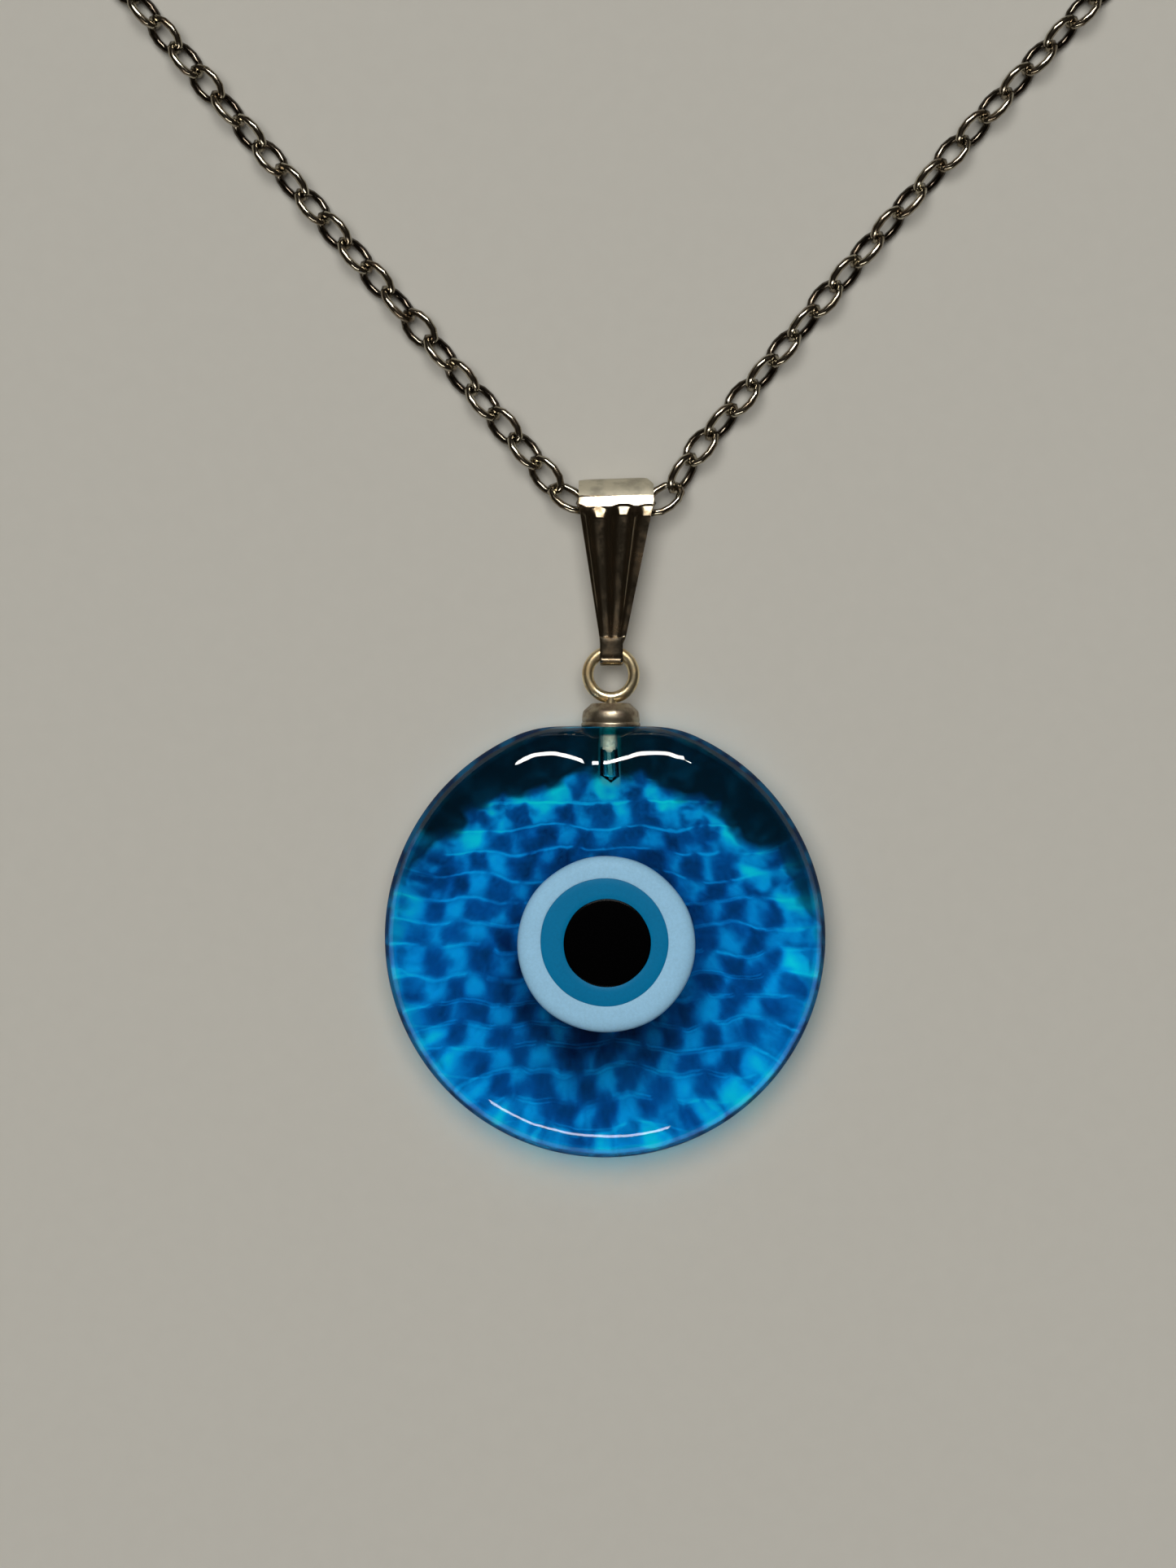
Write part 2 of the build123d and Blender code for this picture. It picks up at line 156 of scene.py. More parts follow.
class Nodes:
    """A node tree, filled in through one method."""

    def __init__(self, tree):
        self.tree = tree

    def feed(self, socket, value):
        """Links a value to a socket, or sets the socket to a constant."""
        if isinstance(value, Value):
            self.tree.links.new(value.socket, socket)
        else:
            socket.default_value = value

    def add(self, kind, settings=None, sockets=None, out=0):
        """One node: its type, its settings, then its sockets' values or links."""
        node = self.tree.nodes.new(kind)
        for name, value in (settings or {}).items():
            if name == "stops":
                set_stops(node.color_ramp, value)
            else:
                setattr(node, name, value)
        for key, value in (sockets or {}).items():
            self.feed(node.inputs[key], value)
        if not node.outputs:
            return node
        return Value(self, node.outputs[out])

    def blend(self, first, second, share):
        """One colour turning into another."""
        return self.add("ShaderNodeMix", {"data_type": "RGBA"}, {0: share, 6: first, 7: second}, 2)

    def mix(self, first, second, share):
        """One shader turning into another."""
        return self.add("ShaderNodeMixShader", {}, {0: share, 1: first, 2: second})

    def see_through(self, colour):
        """A shader that lets tinted light straight through."""
        return self.add("ShaderNodeBsdfTransparent", {}, {"Color": with_alpha(colour)})

    def principled(self, sockets):
        """The main shader, with its sockets' values or links."""
        return self.add("ShaderNodeBsdfPrincipled", {}, sockets)

    def bump(self, strength, distance, height):
        """A normal bent by a height."""
        return self.add("ShaderNodeBump", {}, {
            "Strength": strength, "Distance": distance, "Height": height})

    def object_place(self):
        """The point on the piece, in the piece's own metres."""
        return self.add("ShaderNodeTexCoord", out="Object")

    def part(self, vector, axis):
        """One of the three values of a vector; the others come from other()."""
        return self.add("ShaderNodeSeparateXYZ", {}, {"Vector": vector}, axis)

    def join(self, x, y, z):
        """Three values as one vector."""
        return self.add("ShaderNodeCombineXYZ", {}, {"X": x, "Y": y, "Z": z})

    def noise(self, place, scale, detail=2.0, roughness=0.5, distortion=0.0):
        """Soft clouds, about 1 / scale across."""
        return self.add("ShaderNodeTexNoise", {}, {
            "Vector": place, "Scale": scale, "Detail": detail, "Roughness": roughness,
            "Distortion": distortion})


def set_stops(ramp, stops):
    """Gives a colour ramp its stops, each a place and a colour."""
    while len(ramp.elements) > 1:
        ramp.elements.remove(ramp.elements[-1])
    for index, (place, colour) in enumerate(stops):
        element = ramp.elements[0] if index == 0 else ramp.elements.new(place)
        element.position = place
        element.color = (*colour, 1.0)


def new_material(name):
    """An empty material and its nodes."""
    material = bpy.data.materials.new(name)
    material.use_nodes = True
    material.node_tree.nodes.clear()
    return material, Nodes(material.node_tree)


def show_surface(nodes, shader):
    """Links a finished shader to the material's output."""
    nodes.add("ShaderNodeOutputMaterial", {}, {"Surface": shader})


def with_alpha(colour, strength=1.0):
    """A colour, made darker or lighter where asked, as a socket takes it."""
    return (*[strength * c for c in colour], 1.0)


# ---- finishes

def clear_wall():
    """The bare wall of the drilled hole, where the glass adds no tint of its own."""
    material, nodes = new_material("hole_wall")
    drill_marks = nodes.noise(nodes.object_place(), 5200.0, 2.0, 0.6)
    tone = nodes.blend((0.96, 0.99, 1.0, 1.0), (0.86, 0.95, 0.98, 1.0), drill_marks)
    glass = nodes.principled({
        "Base Color": tone, "Roughness": 0.05, "IOR": GLASS_IOR, "Transmission Weight": 1.0,
        "Normal": nodes.bump(0.3, 0.01 * MM, drill_marks)})
    shadow = nodes.add("ShaderNodeLightPath", out="Is Shadow Ray")
    show_surface(nodes, nodes.mix(glass, nodes.see_through((0.95, 0.98, 1.0)), shadow))
    return material


def blue_glass(look):
    """Clear blue glass with light and shade painted into its tint: soft light and dark patches, streaks of
    light in the low rim, a teal shade at the top.
    """
    material, nodes = new_material("blue_glass")
    across = nodes.part(nodes.object_place(), "X")
    x = across / MM
    y = across.other("Y") / MM
    height = across.other("Z") / MM
    radius = (x * x + y * y).math("SQRT")
    flat_place = nodes.join(x, y, 0.0)
    cloud = nodes.noise(flat_place, 0.28, 0.0)
    other_place = nodes.add("ShaderNodeVectorMath", {"operation": "ADD"}, {
        0: flat_place, 1: (17.0, 5.0, 3.0)})
    other_cloud = nodes.noise(other_place, 0.3, 0.0)
    wisp = nodes.noise(flat_place, 0.8, 1.5, 0.5, 0.3)
    fibre = nodes.noise(flat_place, 2.3, 2.0, 0.6, 0.9)
    # Painted light and shade: light patches in bent columns and rows, with a painted bright thread between
    # rows
    grid_x = (x + (cloud - 0.5) * 1.4 + (wisp - 0.5) * 0.8) * (math.pi / PATCH_WIDTH)
    grid_y = (y + (other_cloud - 0.5) * 1.5 + (wisp - 0.5) * 0.5) * (math.pi / PATCH_HEIGHT)
    column = grid_x.math("COSINE").step(-0.95, 0.95)
    row = grid_y.math("COSINE").step(-0.9, 0.9)
    chance = nodes.noise(flat_place, 0.42, 1.0).step(0.34, 0.58)
    painted_light_patch = (column * row + (1 - column) * (1 - row)) * (0.15 + chance * 0.85)
    painted_glint_thread = (1 - grid_y.math("COSINE").math("ABSOLUTE").step(0.04, 0.24)) * wisp.step(0.36, 0.5)
    # The painted shade: a crescent under the top of the rim, with a painted band of light just inside it
    off_x = x - SHADE_CENTRE[0]
    off_y = y - SHADE_CENTRE[1]
    curve = (off_x * off_x + off_y * off_y).math("SQRT") + (cloud - 0.5) * 1.8 + (wisp - 0.5) * 1.6
    shade = curve.step(SHADE_RADIUS, SHADE_RADIUS + 0.7)
    painted_light_band = curve.step(SHADE_RADIUS - 2.0, SHADE_RADIUS - 0.7) * (1 - shade)
    # Painted light: streaks that run outwards in the low part of the rim
    ray = nodes.join(x / radius * 8.0, y / radius * 8.0, radius * 0.3)
    painted_caustic_streak = nodes.noise(ray, 1.2, 1.0, 0.5, 0.2).between(0.42, 0.62)
    rim = radius.step(9.7, 11.3)
    low_side = (0 - y - x * 0.35).step(-1.5, 7.0)
    # Painted shadow of the eye: darker within 5.2 to 7.2 mm of a point 1 mm below the middle
    painted_eye_shadow = (x * x + (y + 1.0) * (y + 1.0)).math("SQRT").step(7.2, 5.2)
    # Painted highlight: a thin light line between 11.7 and 12.2 mm from the middle
    painted_rim_highlight = radius.step(11.7, 11.95) * radius.step(12.2, 12.02)
    # The level sums painted light and shade: patches, glint threads, a band of light, streaks, the eye's
    # shadow and a rim highlight, over clouds of tone
    level = 0.2 + painted_light_patch * 0.4 + (cloud - 0.5) * 0.4 + painted_glint_thread * 0.26 + (fibre - 0.5) * 0.26
    level = level + painted_light_band * wisp.step(0.38, 0.6) * 0.36
    level = level + painted_caustic_streak * rim * low_side * 0.32 - painted_eye_shadow * 0.13
    level = level + painted_rim_highlight * 0.25
    tint = nodes.add("ShaderNodeValToRGB", {"stops": [
        (0.0, look.deep), (0.3, look.middle), (0.62, look.light_tint), (1.0, look.bright)]}, {"Fac": level})
    # The painted shade darkens the tint in the crescent, a little lighter in wisps
    shade_tone = nodes.blend(with_alpha(look.shade), with_alpha(look.shade, 2.4), wisp.step(0.45, 0.7))
    tint = nodes.blend(tint, shade_tone, shade * (1 - painted_rim_highlight * 0.25))
    # The drilled hole, seen through the front, and the side wall
    off_pin = (x - HANG_X / MM).math("ABSOLUTE")
    over_hole = off_pin.step(0.62, 0.4) * y.step(8.4, 8.8) * y.step(11.5, 11.3)
    hole_tint = nodes.blend((0.1, 0.5, 0.62, 1.0), (0.8, 0.88, 0.86, 1.0), y.step(9.9, 10.2))
    tint = nodes.blend(tint, hole_tint, over_hole * 0.85)
    wall = radius.step(11.8, 12.2) * height.step(2.9, 2.6)
    tint = nodes.blend(tint, with_alpha(look.wall), wall * 0.85)
    glass = nodes.principled({
        "Base Color": tint, "Roughness": 0.01, "IOR": GLASS_IOR, "Transmission Weight": 1.0})
    # A painted dark outline, standing in for the shade where the rounded edge bends light away
    painted_outline_tone = nodes.blend((0.0, 0.02, 0.08, 1.0), (0.0, 0.11, 0.26, 1.0), wisp.step(0.4, 0.6))
    edge = nodes.principled({"Base Color": painted_outline_tone, "Roughness": 0.5, "Specular IOR Level": 0.0})
    outline = radius.step(12.14, 12.32) * height.step(2.2, 2.8) * 0.85
    rimmed = nodes.mix(glass, edge, outline)
    # What light the glass lets through to the floor: little by its side, and clear over the pin
    over_pin = off_pin.step(1.7, 1.2) * y.step(8.0, 8.8)
    side_wall = radius.step(11.7, 11.9) * height.step(3.9, 3.7)
    lit_through = nodes.mix(nodes.see_through(look.light), nodes.see_through(look.wall_light), side_wall)
    lit_through = nodes.mix(lit_through, nodes.see_through((0.98, 0.96, 0.92)), over_pin)
    shadow = nodes.add("ShaderNodeLightPath", out="Is Shadow Ray")
    show_surface(nodes, nodes.mix(rimmed, lit_through, shadow))
    return material


def opaque_glass(name, colour, cloud_strength, roughness, speck_size, speck_depth, shine=0.08):
    """Satin opaque glass with fine pits and faint darker clouds."""
    material, nodes = new_material(name)
    place = nodes.object_place()
    cloud = nodes.noise(place, 350.0, 3.0, 0.6)
    specks = nodes.noise(place, 1 / speck_size, 3.0, 0.7)
    share = ((cloud - 0.5) * 0.8 + (specks - 0.5) * 1.3 + 0.4).math("MAXIMUM", 0.0)
    tone = nodes.blend(with_alpha(colour), with_alpha(colour, cloud_strength), share)
    show_surface(nodes, nodes.principled({
        "Base Color": tone, "Roughness": roughness + (specks - 0.5) * 0.15, "IOR": GLASS_IOR,
        "Specular IOR Level": shine, "Normal": nodes.bump(0.5, speck_depth, specks)}))
    return material


def plated_metal(name, bright, worn, roughness, cloud_size, pit_depth, painted_underside_shade=None, dull=None):
    """Plated metal: clouds of tarnish, fine pits, painted shade below a height and, where it has any, a dull
    end whose pale tone is a painted reflection.
    """
    material, nodes = new_material(name)
    place = nodes.object_place()
    tarnish = nodes.noise(place, 1 / cloud_size, 3.0, 0.6).step(0.4, 0.66)
    pits = nodes.noise(place, 6500.0, 3.0, 0.6)
    tone = nodes.blend(with_alpha(bright), with_alpha(worn), tarnish)
    # Painted shade: the tone darkens towards the bottom of the piece, below a height
    if painted_underside_shade:
        colour, unshaded_height = painted_underside_shade
        height = nodes.part(place, "Z") + (pits - 0.5) * 0.3 * MM
        tone = nodes.blend(with_alpha(colour), tone, height.step(0.25 * unshaded_height, unshaded_height))
    metallic = 1.0
    gloss = roughness + tarnish * 0.12 + (pits - 0.5) * 0.1
    # Painted reflection: a pale, dull, less metallic end along Y
    if dull:
        colour, shiny_y, dull_y = dull
        along = nodes.part(place, "Y") + (pits - 0.5) * 0.1 * MM
        painted_reflection_share = along.step(shiny_y, dull_y)
        painted_reflection_tone = nodes.blend(with_alpha(colour), with_alpha(colour, 0.6), tarnish)
        tone = nodes.blend(tone, painted_reflection_tone, painted_reflection_share)
        metallic = 1 - painted_reflection_share * 0.85
        gloss = gloss + painted_reflection_share * 0.3
    show_surface(nodes, nodes.principled({
        "Base Color": tone, "Metallic": metallic, "Roughness": gloss,
        "Normal": nodes.bump(0.35, pit_depth, pits)}))
    return material


def clear_cement(name, milkiness):
    """Cured clear glue against glass: nothing bends light there, but it is slightly milky."""
    material, nodes = new_material(name)
    milk = nodes.noise(nodes.object_place(), 2500.0)
    tone = nodes.blend((0.75, 0.86, 0.84, 1.0), (0.5, 0.62, 0.6, 1.0), milk)
    glue = nodes.principled({"Base Color": tone, "Roughness": 0.35, "IOR": 1.45})
    share = milk.step(0.45, 0.75) * milkiness
    show_surface(nodes, nodes.mix(nodes.see_through((0.97, 0.99, 0.99)), glue, share))
    return material


# ---- meshes

def new_object(name, data):
    """A new object in the scene, at the origin."""
    piece = bpy.data.objects.new(name, data)
    bpy.context.scene.collection.objects.link(piece)
    return piece


def close_up(shape, gap):
    """Merges a shape's doubles and turns its faces outwards."""
    bmesh.ops.remove_doubles(shape, verts=shape.verts, dist=gap)
    bmesh.ops.dissolve_degenerate(shape, edges=shape.edges, dist=1e-8)
    bmesh.ops.recalc_face_normals(shape, faces=shape.faces)


def place_mesh(name, mesh, material, body, sharp_deg=35.0):
    """A finished mesh as an object at the origin, riding on its body."""
    piece = new_object(name, mesh)
    mesh.materials.clear()
    mesh.materials.append(material)
    mesh.shade_smooth()
    mesh.set_sharp_from_angle(angle=math.radians(sharp_deg))
    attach(piece, body)
    return piece


def mesh_from(name, points, faces):
    """A mesh of points in metres, its doubles merged and its faces pointing outwards."""
    shape = bmesh.new()
    corners = [shape.verts.new(p) for p in points]
    for face in faces:
        shape.faces.new([corners[i] for i in face])
    close_up(shape, 1e-7)
    mesh = bpy.data.meshes.new(name)
    shape.to_mesh(mesh)
    shape.free()
    return mesh


def evaluated_mesh(piece):
    """What an object's modifiers make, as a plain mesh."""
    graph = bpy.context.evaluated_depsgraph_get()
    return bpy.data.meshes.new_from_object(piece.evaluated_get(graph), depsgraph=graph)


def clamped(value, span):
    """A value's share of a span, kept from 0 to 1."""
    return min(max(value / span, 0.0), 1.0)


def wobble(angle, seed):
    """An uneven outline's share of its unevenness at one angle, from -1 to 1."""
    waves = (math.sin(2 * angle + 1.7 * seed), 0.7 * math.sin(3 * angle + 2.9 * seed),
             0.5 * math.sin(5 * angle + 0.8 * seed), 0.3 * math.sin(9 * angle + 4.1 * seed))
    return sum(waves) / 2.5


def bands(rings, sides, ring_shaped=False):
    """The faces between rings of points; a ring shape closes on itself."""
    faces = []
    for row in range(rings if ring_shaped else rings - 1):
        below, above = row * sides, (row + 1) % rings * sides
        for side in range(sides):
            after = (side + 1) % sides
            faces.append((below + side, below + after, above + after, above + side))
    return faces


def stacked_rings(name, rings, sides=144):
    """A closed round mesh from rings of (x, y, radius, z, unevenness, seed) in millimetres."""
    points = []
    for x, y, radius, z, uneven, seed in rings:
        for side in range(sides):
            angle = 2 * math.pi * side / sides
            reach = radius + uneven * wobble(angle, seed)
            points.append(((x + reach * math.cos(angle)) * MM, (y + reach * math.sin(angle)) * MM, z * MM))
    faces = bands(len(rings), sides)
    faces.append(tuple(range(sides)))
    faces.append(tuple((len(rings) - 1) * sides + side for side in range(sides)))
    return mesh_from(name, points, faces)


def turned(name, rows, sides, ring_shaped):
    """A round mesh about the pin's axis from (radius, y) in millimetres."""
    points = []
    for reach, y in rows:
        for side in range(sides):
            angle = 2 * math.pi * side / sides
            points.append((HANG_X + reach * MM * math.cos(angle), y * MM,
                           HANG_Z + reach * MM * math.sin(angle)))
    return mesh_from(name, points, bands(len(rows), sides, ring_shaped))


# ---- settings

def length_prop(name, description, default):
    """A size, shown in the scene's own unit."""
    return FloatProperty(name=name, description=description, default=default, unit="LENGTH")


def angle_prop(name, description, degrees):
    """An angle."""
    return FloatProperty(
        name=name, description=description, default=math.radians(degrees), subtype="ANGLE")


def colour_prop(name, description, default):
    """A colour."""
    return FloatVectorProperty(name=name, description=description, default=default, subtype="COLOR")


class ChainSettings(bpy.types.PropertyGroup):
    """Sizes of the cable chain."""

    diameter: length_prop("Chain Diameter", "Width of the chain over its links", 2.0 * MM)
    link_length: length_prop("Link Length", "Outer length of one link", 2.75 * MM)
    link_width: length_prop("Link Width", "Outer width of one link", 1.86 * MM)
    wire_radius: length_prop("Wire Radius", "Radius of the link's wire", 0.225 * MM)
    turn: angle_prop("Link Turn", "How far each link is turned about the chain, to alternate sides", 45)
    lean: angle_prop("Link Lean", "How far the pair of turns leans, so that every second link is flatter", 6)
    loose_turn: angle_prop("Loose Turn", "How much that turn varies from link to link", 14)
    seed: IntProperty(name="Seed", description="Seed of that variation", default=4)
    bright: colour_prop("Bright", "Colour of clean plating", (0.46, 0.42, 0.33))
    worn: colour_prop("Worn", "Colour of worn plating", (0.22, 0.17, 0.115))
    # Painted shade: the links darken towards their undersides
    painted_underside_shade: colour_prop("Grime", "Colour of the dark underside of the links", (0.04, 0.03, 0.022))


class DiscSettings(bpy.types.PropertyGroup):
    """Sizes and tints of the glass disc."""

    radius: length_prop("Radius", "Radius of the disc", (DISC_HIGH.x - DISC_LOW.x) / 2)
    thickness: length_prop("Thickness", "Thickness of the disc", DISC_HIGH.z)
    round_radial: length_prop("Front Rounding Width", "Width of the rounded front edge", 2.4 * MM)
    round_axial: length_prop("Front Rounding Depth", "Depth of the rounded front edge", 1.8 * MM)
    back_edge: length_prop("Back Edge Radius", "Radius of the back edge", 0.6 * MM)
    top_flat: length_prop("Top Flat", "Height of the ground flat above the centre", DISC_HIGH.y + 0.1 * MM)
    ripple: length_prop("Ripple", "Height of the ripples in the rim", 0.05 * MM)
    wave: length_prop("Wave", "Height of the broad waves in the front", 0.03 * MM)
    dimple: length_prop("Dimple", "How far the front sinks over the pin's hole", 0.6 * MM)
    # Tints of the painted light and shade in the glass, from its dark patches to its light streaks
    deep: colour_prop("Deep Tint", "Tint of the dark patches", (0.0, 0.03, 0.13))
    middle: colour_prop("Middle Tint", "Tint of most of the glass", (0.001, 0.16, 0.49))
    light_tint: colour_prop("Light Patch Tint", "Tint of the light patches", (0.004, 0.5, 0.98))
    bright: colour_prop("Bright Tint", "Tint of the light streaks", (0.02, 0.95, 1.0))
    # Painted shade: the teal crescent under the top of the rim
    shade: colour_prop("Shade Tint", "Teal tint under the top of the rim", (0.0, 0.028, 0.055))
    wall: colour_prop("Wall Tint", "Tint of the side wall, seen through most glass", (0.0, 0.1, 0.24))
    wall_light: colour_prop(
        "Wall Light Tint", "Tint of the little light that leaves through the side wall",
        (0.1, 0.13, 0.15))
    light: colour_prop(
        "Light Tint", "Tint of the light that each face of the glass lets through", (0.35, 0.9, 0.98))


class EyeSettings(bpy.types.PropertyGroup):
    """Colours of the three layers of the eye."""

    white: colour_prop("White", "Colour of the outer layer", (0.4, 0.73, 1.0))
    iris: colour_prop("Iris", "Colour of the middle layer", (0.0, 0.21, 0.45))
    pupil: colour_prop("Pupil", "Colour of the middle dot", (0.0004, 0.0004, 0.0005))
    uneven: length_prop("Unevenness", "How far the hand-dropped outlines stray from round", 0.06 * MM)


class BailSettings(bpy.types.PropertyGroup):
    """Sizes and colours of the folded bail."""

    wall: length_prop("Wall", "Thickness of the strip", 0.16 * MM)
    flute_depth: length_prop("Flute Depth", "Depth of the three flutes", 0.33 * MM)
    flutes: IntProperty(name="Flutes", description="Number of flutes", default=3)
    bright: colour_prop("Bright", "Colour of clean plating", (0.36, 0.31, 0.225))
    worn: colour_prop("Worn", "Colour of worn plating", (0.25, 0.18, 0.11))
    # Painted reflection: the pale, dull fold stands in for the floor reflected in it
    fold: colour_prop("Fold", "Colour of the fold, where the plating is rubbed dull", (0.52, 0.47, 0.34))


class StageSettings(bpy.types.PropertyGroup):
    """The floor, the lights and the camera."""

    floor: colour_prop("Floor", "Colour of the floor", (0.62, 0.6, 0.54))
    key: FloatProperty(name="Key Light", description="Power of the strip light", default=0.9, unit="POWER")
    fill: FloatProperty(name="Fill Light", description="Power of the low light", default=0.27, unit="POWER")
    soft: FloatProperty(
        name="Soft Light", description="Power of the large overhead light", default=3.6, unit="POWER")
    even: FloatProperty(
        name="Even Light", description="Strength of the light that also reaches the far floor", default=1.5)
    distance: length_prop("Camera Distance", "Height of the camera above the eye", 250 * MM)
    view_height: length_prop("View Height", "What the picture takes in from top to bottom", 89.2 * MM)


# ---- the chain

def coil_points(side):
    """Turns of one coil: round outside, in beside that, then up on top of both."""
    points = []
    for step in range(1, COIL_STEPS + 1):
        swept = abs(COIL_TURN_DEG[side]) * step / COIL_STEPS
        angle = math.radians(COIL_START_DEG[side] + COIL_TURN_DEG[side] * step / COIL_STEPS)
        inward = clamped(swept - 280, 60)
        climb = clamped(swept - 590, 60)
        reach = COIL_REACH - 2.0 * inward + 1.0 * climb
        height = LYING_HEIGHT + 1.5 * climb
        points.append((COIL_CENTRE[side][0] + reach * math.cos(angle),
                       COIL_CENTRE[side][1] + reach * math.sin(angle), height))
    return points


def route_curve(side):
    """The arm's whole route as a smooth curve."""
    points = ARM_ROUTE[side] + coil_points(side) + END_ROUTE[side]
    curve = bpy.data.curves.new("route_" + side, "CURVE")
    curve.dimensions = "3D"
    curve.resolution_u = 16
    spline = curve.splines.new("NURBS")
    spline.points.add(len(points) - 1)
    for control, place in zip(spline.points, points):
        control.co = (place[0] * MM, place[1] * MM, place[2] * MM, 1.0)
    spline.order_u = 3
    spline.use_endpoint_u = True
    return new_object("route_" + side, curve)


def tree_inputs(tree, names, kinds):
    """Gives a geometry tree its named inputs, numbers unless of another kind, and one output."""
    tree.interface.new_socket("Geometry", in_out="INPUT", socket_type="NodeSocketGeometry")
    for name in names:
        kind = "NodeSocket" + kinds.get(name, "Float")
        tree.interface.new_socket(name, in_out="INPUT", socket_type=kind)
    tree.interface.new_socket("Geometry", in_out="OUTPUT", socket_type="NodeSocketGeometry")


def grow(piece, tree, sizes, values):
    """Puts a geometry tree on an object. Inputs not among the values come from the settings."""
    modifier = piece.modifiers.new(tree.name, "NODES")
    modifier.node_group = tree
    for item in tree.interface.items_tree:
        if item.in_out == "OUTPUT" or item.name == "Geometry":
            continue
        setting = item.name.lower().replace(" ", "_")
        value = values[item.name] if item.name in values else getattr(sizes, setting)
        modifier[item.identifier] = value


def link_tree():
    """A geometry tree that strings oval links along a route, turned to alternate sides."""
    tree = bpy.data.node_groups.new("chain_links", "GeometryNodeTree")
    tree_inputs(tree, (
        "Link Length", "Link Width", "Wire Radius", "Link Count", "First Link", "Last Link", "Turn",
        "Lean", "Loose Turn", "Seed", "Metal"), {"Link Count": "Int", "Seed": "Int", "Metal": "Material"})
    nodes = Nodes(tree)
    given = nodes.add("NodeGroupInput")
    trimmed = nodes.add("GeometryNodeTrimCurve", {"mode": "LENGTH"}, {
        0: given, 4: given.other("First Link"), 5: given.other("Last Link")})
    upright = nodes.add("GeometryNodeSetCurveNormal", {"mode": "Z_UP"}, {0: trimmed})
    places = nodes.add("GeometryNodeCurveToPoints", {"mode": "COUNT"}, {
        0: upright, "Count": given.other("Link Count")})
    ring = nodes.add("GeometryNodeCurvePrimitiveCircle", {}, {"Resolution": 12, "Radius": 1.0})
    half_length = given.other("Link Length") * 0.5 - given.other("Wire Radius")
    half_width = given.other("Link Width") * 0.5 - given.other("Wire Radius")
    oval = nodes.add("GeometryNodeTransform", {}, {
        "Geometry": ring, "Scale": nodes.join(half_length, half_width, 1.0)})
    section = nodes.add("GeometryNodeCurvePrimitiveCircle", {}, {
        "Resolution": 6, "Radius": given.other("Wire Radius")})
    link = nodes.add("GeometryNodeCurveToMesh", {}, {0: oval, 1: section})
    along = nodes.add("GeometryNodeTransform", {}, {
        "Geometry": link, "Rotation": (0.0, math.pi / 2, 0.0)})
    number = nodes.add("GeometryNodeInputIndex")
    side = 1 - number.math("MODULO", 2.0) * 2
    stray = nodes.add("FunctionNodeRandomValue", {"data_type": "FLOAT"}, {
        2: -1.0, 3: 1.0, "ID": number, "Seed": given.other("Seed")}, 1)
    angle = side * given.other("Turn") + given.other("Lean") + stray * given.other("Loose Turn")
    about = nodes.add("FunctionNodeAxisAngleToRotation", {}, {"Axis": (0.0, 0.0, 1.0), "Angle": angle})
    facing = nodes.add("FunctionNodeRotateRotation", {"rotation_space": "LOCAL"}, {
        0: places.other("Rotation"), 1: about})
    strung = nodes.add("GeometryNodeInstanceOnPoints", {}, {
        "Points": places, "Instance": along, "Rotation": facing})
    real = nodes.add("GeometryNodeRealizeInstances", {}, {0: strung})
    plated = nodes.add("GeometryNodeSetMaterial", {}, {0: real, "Material": given.other("Metal")})
    nodes.add("NodeGroupOutput", {}, {0: plated})
    return tree


class PENDANT_OT_chain(bpy.types.Operator):
    """String the links of both arms of the chain along their routes"""

    bl_idname = "pendant.string_chain"
    bl_label = "String the Chain"

    def execute(self, context):
        sizes = context.scene.pendant_chain
        # The links get painted shade towards their undersides
        metal = plated_metal(
            "chain_plating", sizes.bright, sizes.worn, 0.13, 0.9 * MM, 0.006 * MM,
            (sizes.painted_underside_shade, 1.5 * MM))
        for node in ("left_end_link", "right_end_link", "jump_ring", "end_ring"):
            refinish(node, metal)
        tree = link_tree()
        for side in ("left", "right"):
            self.string_arm(side, sizes, metal, tree)
        return {"FINISHED"}

    def string_arm(self, side, sizes, metal, tree):
        """One arm, from the middle of the bail's roll to its last link."""
        route = route_curve(side)
        line = evaluated_mesh(route)
        path = [vertex.co.copy() for vertex in line.vertices]
        bpy.data.meshes.remove(line)
        arm_length = sum((b - a).length for a, b in zip(path, path[1:]))
        pitch = sizes.link_length - 4 * sizes.wire_radius
        first = pitch / 2
        last = arm_length - (pitch - abs(END_LINK_X[side] * MM - path[-1].x))
        count = round((last - first) / pitch) + 1
        grow(route, tree, sizes, {
            "Link Count": count, "First Link": first, "Last Link": last,
            "Turn": sizes.turn * (1 if side == "left" else -1),
            "Seed": sizes.seed + (side == "right"), "Metal": metal})
        links = evaluated_mesh(route)
        bpy.data.objects.remove(route)
        piece = place_mesh("chain_" + side, links, metal, "chain", 180)
        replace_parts(piece, f"chain_{side}_arm", f"chain_{side}_coil", f"chain_{side}_end")


def refinish(node, material):
    """Gives a CAD node a finish of its own."""
    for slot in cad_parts[node].material_slots:
        slot.link = "OBJECT"
        slot.material = material


# ---- the disc

# Where the back, its edge, the side wall and the rounded front end, as shares of the disc's section
UNDER_END, EDGE_END, WALL_END, FRONT_END = 0.2, 0.27, 0.36, 0.72


